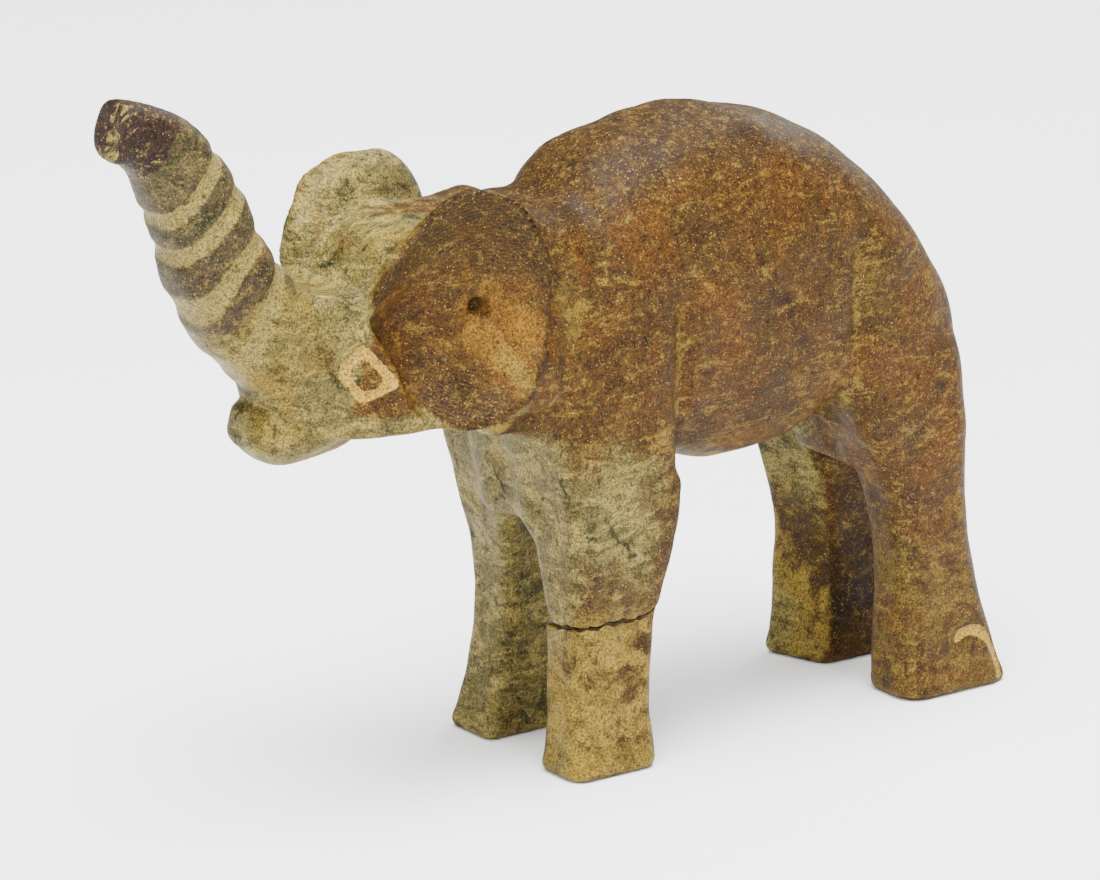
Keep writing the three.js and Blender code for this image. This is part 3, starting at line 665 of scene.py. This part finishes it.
def green_mark(at):
    """Green-grey stone: the face and trunk, the crown, the legs' fronts, the far shoulder, the chest."""
    far = 1 - at.left
    shin = np.maximum(0.55 + 0.45 * fade(at.v, 22, 28), far)
    forward = 0.3 + 0.7 * np.maximum(fade(at.u, -5, -20), far)
    green = np.maximum.reduce([
        fade(at.u - 0.35 * (at.v - 72), -67, -74),
        0.9 * patch(at, "crown") * (1 - at.ear),
        0.8 * at.front * fade(at.v, 60, 52) * shin * forward,
        0.85 * far * fade(at.u + 0.4 * (at.v - 50), -14, -36),
        # the inner faces between the legs turn slate and dark green: partly their own stone, partly the hue
        # of the painted shade there
        0.6 * (at.side < 9) * fade(at.v, 50, 44) * fade(at.u, 10, 0),
        0.92 * patch(at, "upper_foreleg") * fade(at.v, 22, 26),
        0.85 * fade(at.v, 65.5, 61.5) * fade(at.v, 54, 56) * fade(at.u, -44, -48),
    ])
    return green * (1 - at.ear)


def dark_and_shade_mark(at):
    """Dark skin and painted shade: the trunk between its bands and its tip, and the withers, are dark stone;
    the ear is partly dark brown stone, partly painted shade, darkest at its overhung top; the pit, the ear's
    hollow, the mouth's crease and the inner legs get painted shade; the back is partly its darker brown,
    partly painted shade that offsets the top light.
    """
    return np.maximum.reduce([
        # the ear: partly its dark brown stone, partly painted shade, left light on its floor
        at.ear * (1 - 0.95 * patch(at, "ear_floor")),
        # painted shade on the ear's overhung top, over its dark brown rim
        0.95 * at.ear * fade(at.v, 83, 91),
        # painted shade in the lower hollow of the ear, towards the cheek
        0.95 * at.left * patch(at, "painted_hollow_shade"),
        # painted shade in the ear's pit
        1.5 * patch(at, "ear_pit") * (at.side > 8),
        0.95 * at.tip,
        at.on_trunk * (1 - at.bands) * fade(at.station, 2.2, 2.7),
        # the back: partly its darker brown, partly painted shade on every upward face to offset the overhead
        # light
        0.75 * at.top * fade(at.u, -46, -38),
        0.5 * at.left * patch(at, "withers"),
        # the inner faces low between the legs: partly their darker stone, partly painted shade
        0.5 * (1 - at.front) * fade(at.v, 60, 52) * fade(at.side, 9, 7),
        # painted shade in the crease between the trunk's root and the lip
        0.8 * mouth_crease(at.x, at.z),
    ])


def ochre_mark(at):
    """Ochre stone: the left foreleg below the break and faintly above it, the neck and the thigh."""
    return at.left * np.maximum.reduce([
        fade(at.v, 29, 23) * fade(at.u, -10, -16),
        0.5 * fade(at.v, 46, 22),
        0.6 * patch(at, "neck") * (1 - at.ear),
        0.5 * patch(at, "thigh"),
    ])


def gold_mark(at):
    """Golden stone: the ear's floor, partly painted light where the bowl faces up, its front edge, and
    faintly the near hind leg.
    """
    return np.maximum.reduce([
        # the ear's floor: partly golden stone, partly painted light where the bowl faces up
        at.ear * patch(at, "ear_floor"),
        1.2 * at.ear * patch(at, "ear_front"),
        0.5 * at.left * patch(at, "hind_leg"),
    ])


def line_mark(at):
    """Rubbed light lines: the side grooves, the ear's fold and the jaw's lower edge."""
    grooves = upright_groove(at.x, at.z, SHOULDER_GROOVE, 1.3, 11)
    grooves = grooves + upright_groove(at.x, at.z, THIGH_GROOVE, 1.5, 13)
    return np.maximum.reduce([
        0.55 * grooves * (at.side > 8),
        0.85 * at.ear * patch(at, "ear_fold"),
        0.5 * at.left * patch(at, "jaw"),
    ])


def rim_mark(at):
    """The dark rim of the near ear."""
    on_rim = bell((at.outline - 0.99) / 0.05)
    return at.left * on_rim * fade(at.u, -68, -62) * fade(at.v, 60, 65) * fade(at.side, 11, 13)


def stone_marks(points, facings):
    """The share of each of the stone's layers, painted shade among them, at each point, 0 to 1."""
    at = lie_of(points, facings)
    marks = dict(
        tip=at.tip, ear=at.ear, rim=rim_mark(at), green=green_mark(at), dark=dark_and_shade_mark(at),
        ochre=ochre_mark(at), gold=gold_mark(at), bands=at.bands,
        carved=np.maximum(eye_ring(at.x, at.y, at.z), nail_arc(at.x, at.y, at.z)),
        lines=line_mark(at),
    )
    return {name: np.clip(values, 0, 1) for name, values in marks.items()}


# Materials

def new_material(name):
    """An empty node material and its shader."""
    material = bpy.data.materials.new(name)
    material.use_nodes = True
    return material, material.node_tree.nodes["Principled BSDF"]


class Nodes:
    """Short calls that add one node each and link it."""

    def __init__(self, material):
        self.tree = material.node_tree
        self.place = self.add("ShaderNodeTexCoord").outputs["Object"]

    def add(self, kind, **settings):
        """A new node of a kind, with its settings."""
        node = self.tree.nodes.new(kind)
        for name, value in settings.items():
            setattr(node, name, value)
        return node

    def feed(self, socket, value):
        """Gives a socket a link, or else a plain value."""
        if isinstance(value, bpy.types.NodeSocket):
            self.tree.links.new(value, socket)
        else:
            socket.default_value = value

    def noise(self, scale, detail=4.0, rough=0.55, warp=0.0, place=None):
        """A noise of about 0 to 1 whose patches are one metre over the scale wide."""
        node = self.add("ShaderNodeTexNoise")
        self.feed(node.inputs["Vector"], place or self.place)
        node.inputs["Scale"].default_value = scale
        node.inputs["Detail"].default_value = detail
        node.inputs["Roughness"].default_value = rough
        node.inputs["Distortion"].default_value = warp
        return node.outputs["Fac"]

    def stretched(self, scale, turn):
        """The place, turned and scaled unevenly, for grain and scratches that run one way."""
        node = self.add("ShaderNodeMapping")
        self.feed(node.inputs["Vector"], self.place)
        node.inputs["Rotation"].default_value = turn
        node.inputs["Scale"].default_value = scale
        return node.outputs["Vector"]

    def ramp(self, value, start, end, low_value=0.0, high_value=1.0):
        """A soft step from a low value at the start to a high value at the end."""
        node = self.add("ShaderNodeMapRange", interpolation_type="SMOOTHSTEP")
        self.feed(node.inputs["Value"], value)
        node.inputs["From Min"].default_value = start
        node.inputs["From Max"].default_value = end
        node.inputs["To Min"].default_value = low_value
        node.inputs["To Max"].default_value = high_value
        return node.outputs["Result"]

    def pair(self, kind, operation, a, b):
        """What a node of a kind makes of two values."""
        node = self.add(kind, operation=operation)
        self.feed(node.inputs[0], a)
        self.feed(node.inputs[1], b)
        return node.outputs[0]

    def times(self, a, b):
        """The product of two values."""
        return self.pair("ShaderNodeMath", "MULTIPLY", a, b)

    def plus(self, a, b):
        """The sum of two values."""
        return self.pair("ShaderNodeMath", "ADD", a, b)

    def minus(self, a, b):
        """The first value less the second."""
        return self.pair("ShaderNodeMath", "SUBTRACT", a, b)

    def mix(self, factor, a, b):
        """The first colour, covered by the second as far as the factor says."""
        node = self.add("ShaderNodeMix", data_type="RGBA")
        self.feed(node.inputs["Factor"], factor)
        for socket, value in ((node.inputs[6], a), (node.inputs[7], b)):
            self.feed(socket, value if isinstance(value, bpy.types.NodeSocket) else (*value, 1))
        return node.outputs[2]

    def scaled(self, colour, factor):
        """A colour made lighter or darker by a factor."""
        node = self.add("ShaderNodeVectorMath", operation="SCALE")
        self.feed(node.inputs[0], colour)
        self.feed(node.inputs["Scale"], factor)
        return node.outputs[0]

    def mark(self, name):
        """A mark's value on the mesh."""
        return self.add("ShaderNodeAttribute", attribute_name=name).outputs["Fac"]

    def broken(self, name, noise, amount, start, end):
        """A mark with its edge broken up by a noise."""
        wobble = self.times(self.minus(noise, 0.5), amount)
        return self.ramp(self.plus(self.mark(name), wobble), start, end)


BROWN = (0.034, 0.0170, 0.0036)
DEEP_BROWN = (0.0090, 0.0042, 0.0014)
RUST = (0.062, 0.0230, 0.0032)
GOLD = (0.128, 0.0590, 0.0058)
OCHRE = (0.150, 0.0980, 0.0140)
GREEN_GREY = (0.072, 0.0600, 0.0160)
PALE_GREEN = (0.156, 0.1200, 0.0330)
DARK_GREEN = (0.0135, 0.0175, 0.0060)
SLATE = (0.026, 0.0175, 0.0115)
OLIVE = (0.085, 0.0560, 0.0090)
PURPLE = (0.0170, 0.0095, 0.0070)
FRESH_TAN = (0.275, 0.168, 0.026)
# the flakes' bright colour: partly pale golden grains, partly painted glint
GLITTER = (0.50, 0.29, 0.07)


def stone_noises(n):
    """The noises that all layers share, from patches of two centimetres down to grains of 0.2 mm."""
    slanting = n.stretched((1, 1, 2.6), (0.35, 0.75, 0.2))
    return SimpleNamespace(
        slow=n.noise(48, detail=5, rough=0.62, warp=0.7),
        cloud=n.noise(130, detail=6, rough=0.68, warp=1.0),
        patch=n.noise(330, detail=5, rough=0.7, warp=0.8),
        fine=n.noise(1100, detail=4, rough=0.75),
        grain=n.noise(4200, detail=3, rough=0.8),
        flake=n.noise(5200, detail=2, rough=0.5),
        strokes=n.noise(210, detail=5, rough=0.75, warp=1.3, place=slanting),
    )


def warm_stone(n, of):
    """Brown clouded with rust, streaked with ochre and deep brown, with golden and ochre patches."""
    colour = n.mix(n.ramp(of.cloud, 0.4, 0.66), BROWN, RUST)
    colour = n.mix(n.times(n.ramp(of.strokes, 0.52, 0.72), 0.75), colour, OCHRE)
    colour = n.mix(n.ramp(of.slow, 0.54, 0.72), colour, DEEP_BROWN)
    golden = n.mix(n.ramp(of.cloud, 0.4, 0.6), GOLD, RUST)
    colour = n.mix(n.broken("gold", of.patch, 1.6, 0.3, 0.9), colour, golden)
    mottled = n.mix(n.ramp(of.cloud, 0.45, 0.58), OLIVE, BROWN)
    mottled = n.mix(n.ramp(of.patch, 0.44, 0.6), OCHRE, mottled)
    return n.mix(n.broken("ochre", of.patch, 1.4, 0.35, 0.8), colour, mottled)


def cool_stone(n, of):
    """Green-grey streaked with pale green, with dark green and ochre patches."""
    colour = n.mix(n.ramp(of.strokes, 0.42, 0.62), GREEN_GREY, PALE_GREEN)
    colour = n.mix(n.ramp(of.patch, 0.54, 0.66), colour, DARK_GREEN)
    earthy = n.mix(n.ramp(of.cloud, 0.45, 0.6), OCHRE, BROWN)
    return n.mix(n.ramp(of.slow, 0.48, 0.66), colour, earthy)


def dark_stone_and_shade(n, of):
    """Dark skin and painted shade: deep brown over warm stone, slate and dark green over cool stone."""
    brown = n.mix(n.ramp(of.patch, 0.4, 0.62), DEEP_BROWN, BROWN)
    mossy = n.mix(n.ramp(of.fine, 0.5, 0.68), DARK_GREEN, GREEN_GREY)
    slate = n.mix(n.ramp(of.patch, 0.5, 0.64), SLATE, mossy)
    return n.mix(n.ramp(n.mark("green"), 0.3, 0.6), brown, slate)


def layered_stone(n, of):
    """The layers one over another, each where its mark lies, down to specks of ochre and deep brown."""
    drift = n.times(n.plus(of.slow, of.cloud), 0.5)
    colour = n.mix(n.broken("green", drift, 3.2, 0.3, 0.72), warm_stone(n, of), cool_stone(n, of))
    # the dark mark lays dark stone and painted shade over the colour
    colour = n.mix(n.times(n.broken("dark", of.cloud, 1.2, 0.35, 0.85), 0.8), colour, dark_stone_and_shade(n, of))
    chipped = n.mix(n.ramp(of.patch, 0.56, 0.63), PURPLE, PALE_GREEN)
    colour = n.mix(n.broken("tip", of.patch, 1.0, 0.35, 0.6), colour, chipped)
    colour = n.mix(n.times(n.mark("rim"), 0.8), colour, DEEP_BROWN)
    colour = n.mix(n.times(n.broken("lines", of.fine, 1.2, 0.3, 0.8), 0.8), colour, OCHRE)
    colour = n.mix(n.times(n.broken("bands", of.fine, 1.1, 0.35, 0.75), 0.85), colour, PALE_GREEN)
    colour = n.mix(n.times(n.ramp(of.fine, 0.54, 0.66), 0.5), colour, OCHRE)
    colour = n.mix(n.times(n.ramp(of.fine, 0.46, 0.36), 0.65), colour, DEEP_BROWN)
    return n.mix(n.times(n.broken("carved", of.fine, 0.8, 0.35, 0.6), 0.92), colour, FRESH_TAN)


def ear_rings(n):
    """Fine rings around the pit, as the scraper left them in the near ear's bowl."""
    pit = ((PIT[0] * SHARE + shift[0]) * MM, 0, PIT[1] * SHARE * MM)
    from_pit = n.pair("ShaderNodeVectorMath", "SUBTRACT", n.place, pit)
    flat = n.pair("ShaderNodeVectorMath", "MULTIPLY", from_pit, (1, 0, 1))
    rings = n.add("ShaderNodeTexWave", wave_type="RINGS", rings_direction="SPHERICAL")
    n.feed(rings.inputs["Vector"], flat)
    rings.inputs["Scale"].default_value = 700
    rings.inputs["Distortion"].default_value = 7
    rings.inputs["Detail"].default_value = 4
    rings.inputs["Detail Scale"].default_value = 1.2
    return n.times(n.mark("ear"), rings.outputs["Fac"])


def soapstone():
    """Waxed soapstone. The marks, broken up by noise, choose between layers of colour and painted shade.
    Grain of a few tenths of a millimetre darkens and lightens them, sparse flakes glitter, their glint partly
    painted as bright colour, and fine scratches run across in two directions."""
    material, shader = new_material("waxed_soapstone")
    n = Nodes(material)
    of = stone_noises(n)
    rings = ear_rings(n)
    ring_colour = n.mix(n.ramp(of.patch, 0.4, 0.6), OCHRE, GOLD)
    colour = n.mix(n.times(rings, 0.13), layered_stone(n, of), ring_colour)
    shade = n.times(n.ramp(of.grain, 0.36, 0.63, 0.42, 1.65), n.ramp(of.strokes, 0.35, 0.65, 0.86, 1.12))
    # the flakes: pale golden grains with a lower roughness, their glitter partly painted as bright colour
    sparkle = n.ramp(of.flake, 0.66, 0.72)
    n.feed(shader.inputs["Base Color"], n.mix(n.times(sparkle, 0.6), n.scaled(colour, shade), GLITTER))
    rough = n.minus(n.ramp(of.patch, 0.3, 0.7, 0.46, 0.62), n.times(sparkle, 0.18))
    n.feed(shader.inputs["Roughness"], rough)
    shader.inputs["Specular IOR Level"].default_value = 0.1
    one_way = n.noise(420, detail=3, rough=0.65, warp=0.2, place=n.stretched((1, 1, 14), (0.3, 0.8, 0.4)))
    other_way = n.noise(380, detail=3, rough=0.65, warp=0.2, place=n.stretched((1, 1, 12), (-0.5, -0.6, 1.0)))
    relief = n.plus(n.times(of.fine, 0.5), n.times(of.grain, 0.35))
    relief = n.plus(relief, n.times(n.plus(one_way, other_way), 0.4))
    relief = n.plus(relief, n.times(rings, 0.2))
    bump = n.add("ShaderNodeBump")
    bump.inputs["Strength"].default_value = 0.7
    bump.inputs["Distance"].default_value = 0.16 * MM
    n.feed(bump.inputs["Height"], relief)
    n.feed(shader.inputs["Normal"], bump.outputs["Normal"])
    return material


GLUE_BLACK = (0.006, 0.003, 0.0015)
GLUE_BROWN = (0.035, 0.011, 0.003)
PAPER_COOL = (0.90, 0.905, 0.91)
PAPER_PALE = (0.93, 0.93, 0.93)


def dark_glue():
    """Hardened adhesive: nearly black brown, a little glossy."""
    material, shader = new_material("dark_glue")
    n = Nodes(material)
    clouded = n.ramp(n.noise(900, detail=3), 0.4, 0.7)
    n.feed(shader.inputs["Base Color"], n.mix(clouded, GLUE_BLACK, GLUE_BROWN))
    shader.inputs["Roughness"].default_value = 0.3
    shader.inputs["Specular IOR Level"].default_value = 0.12
    return material


def paper_floor():
    """Plain pale paper."""
    material, shader = new_material("pale_paper")
    n = Nodes(material)
    n.feed(shader.inputs["Base Color"], n.mix(n.noise(40, detail=3), PAPER_COOL, PAPER_PALE))
    shader.inputs["Roughness"].default_value = 0.9
    return material


# The pieces: the region and the cell in which each is worked out

BODY_CELL = 0.47
LEG_CELL = 0.26
GLUE_CELL = 0.11
BODY_LOW = (-116 * SHARE, -23 * SHARE, -2 * SHARE)
BODY_HIGH = (55 * SHARE, 23 * SHARE, 118 * SHARE)
FOOT_LOW = (-40 * SHARE, -21 * SHARE, -2 * SHARE)
FOOT_HIGH = (-17 * SHARE, -2 * SHARE, 31 * SHARE)
GLUE_LOW = (FOOT_LOW[0], FOOT_LOW[1], 21 * SHARE)
GLUE_HIGH = (FOOT_HIGH[0], FOOT_HIGH[1], 30 * SHARE)

body_net = surface_net(body_stone, BODY_LOW, BODY_HIGH, BODY_CELL)
leg_net = surface_net(leg_stone, FOOT_LOW, FOOT_HIGH, LEG_CELL)
glue_net = surface_net(glue_line, GLUE_LOW, GLUE_HIGH, GLUE_CELL)

# The outline's middle is moved over the origin, and the lower leg slips forward
shift = -(body_net[0].max(0) + body_net[0].min(0)) / 2
shift[2] = 0
slipped = shift + np.array([-SLIP, 0, 0])

stone_finish = soapstone()
PIECES = [
    ("elephant_stone", body_net, shift, stone_finish, "elephant_body", "soapstone"),
    ("foreleg_stone", leg_net, slipped, stone_finish, "left_foreleg_lower", "leg_soapstone"),
    ("glue_line", glue_net, shift, dark_glue(), "glue_seam", "glue"),
]
for name, (points, faces, facings), offset, finish, node, slot in PIECES:
    piece = make_piece(name, points + offset, faces, stone_marks(points, facings))
    piece.data.materials.append(finish)
    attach(piece, "root")
    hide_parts(node)

# The floor, the lights and the camera

FLOOR_HALF = 3.0
floor_mesh = bpy.data.meshes.new("floor")
floor_mesh.from_pydata([(-FLOOR_HALF, -FLOOR_HALF, 0), (FLOOR_HALF, -FLOOR_HALF, 0),
                        (FLOOR_HALF, FLOOR_HALF, 0), (-FLOOR_HALF, FLOOR_HALF, 0)], [], [(0, 1, 2, 3)])
floor = bpy.data.objects.new("floor", floor_mesh)
bpy.context.scene.collection.objects.link(floor)
floor.data.materials.append(paper_floor())


def area_light(name, place, aim, size, watts):
    """A square soft light at a place, turned to an aim."""
    data = bpy.data.lights.new(name, "AREA")
    data.size = size
    data.energy = watts
    light = bpy.data.objects.new(name, data)
    light.location = place
    light.rotation_euler = (Vector(aim) - Vector(place)).to_track_quat("-Z", "Y").to_euler()
    bpy.context.scene.collection.objects.link(light)


area_light("soft_top", place=(-0.12, -0.16, 0.9), aim=(0, 0, 0.03), size=0.7, watts=43)
area_light("soft_left", place=(-0.75, -0.75, 0.55), aim=(0, 0, 0.04), size=0.4, watts=9)
area_light("soft_rear", place=(0.8, 0.35, 0.5), aim=(0, 0, 0.05), size=0.5, watts=6)
world = bpy.data.worlds.new("studio")
world.use_nodes = True
world.node_tree.nodes["Background"].inputs["Color"].default_value = (1, 1, 1, 1)
world.node_tree.nodes["Background"].inputs["Strength"].default_value = 0.5
bpy.context.scene.world = world

CAMERA_AZIMUTH = math.radians(-36)
CAMERA_RISE = math.radians(16.8)
CAMERA_AWAY = 0.7
CAMERA_AIM = (-19.7, 0, 33.4)
LENS = 222.8
aim = Vector((CAMERA_AIM[0] + shift[0], CAMERA_AIM[1] + shift[1], CAMERA_AIM[2])) * MM
back = Vector((math.sin(CAMERA_AZIMUTH) * math.cos(CAMERA_RISE),
               -math.cos(CAMERA_AZIMUTH) * math.cos(CAMERA_RISE), math.sin(CAMERA_RISE)))
camera_data = bpy.data.cameras.new("camera")
camera_data.lens = LENS
camera = bpy.data.objects.new("camera", camera_data)
camera.location = aim + back * CAMERA_AWAY
camera.rotation_euler = (-back).to_track_quat("-Z", "Y").to_euler()
bpy.context.scene.collection.objects.link(camera)
bpy.context.scene.camera = camera
